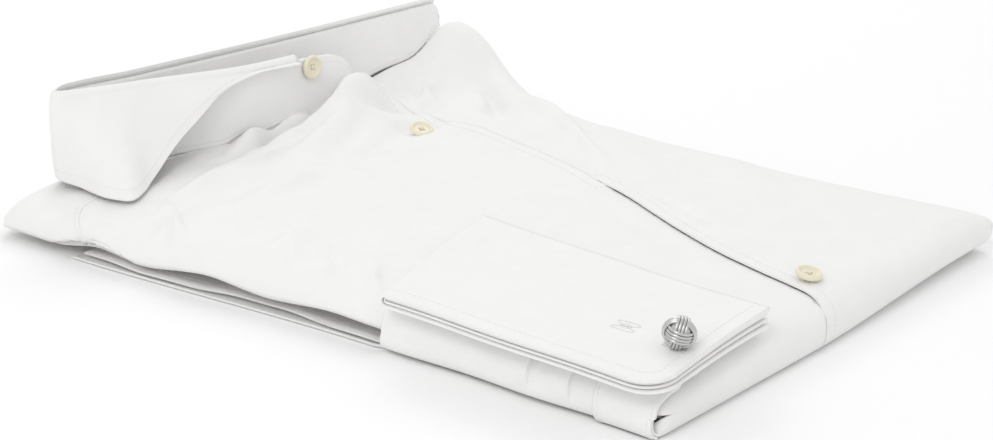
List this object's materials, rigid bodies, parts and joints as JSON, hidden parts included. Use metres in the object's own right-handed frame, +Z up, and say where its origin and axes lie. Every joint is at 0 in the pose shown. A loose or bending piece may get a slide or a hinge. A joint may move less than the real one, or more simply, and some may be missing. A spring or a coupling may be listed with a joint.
{
  "type": "folded dress shirt",
  "caption": "Long sleeve dress shirt folded flat for a shelf, front up, with the collar standing open and one double cuff turned over the front and closed by a knot link.",
  "frame": {"origin": "on the flat underside, at the middle of the folded width and length of the folded body", "axes": "+Y up the folded shirt to its collar, +X to the wearer's left, +Z up out of the front"},
  "size_m": [0.2581, 0.3527, 0.0684],
  "materials": {
    "white_poplin": "matt white shirting with a fine weave and pressed folds",
    "fused_poplin": "the same shirting fused flat and edge stitched",
    "ivory_button": "polished ivory resin",
    "silver_knot": "silver grey woven wire knot",
    "silver_post": "bright silver"
  },
  "bodies": {
    "root": {"front_right": "white_poplin", "front_left": "white_poplin", "yoke": "white_poplin", "hidden_layers": "white_poplin", "back_tail": "white_poplin", "sleeve_right": "white_poplin", "sleeve_placket_right": "white_poplin", "cuff_under": "fused_poplin", "cuff_turnback": "fused_poplin", "collar_stand": "fused_poplin", "collar_leaf": "fused_poplin", "button_collar": "ivory_button", "button_front_top": "ivory_button", "button_front_low": "ivory_button", "link_knot": "silver_knot", "link_post": "silver_post"}
  },
  "joints": []
}
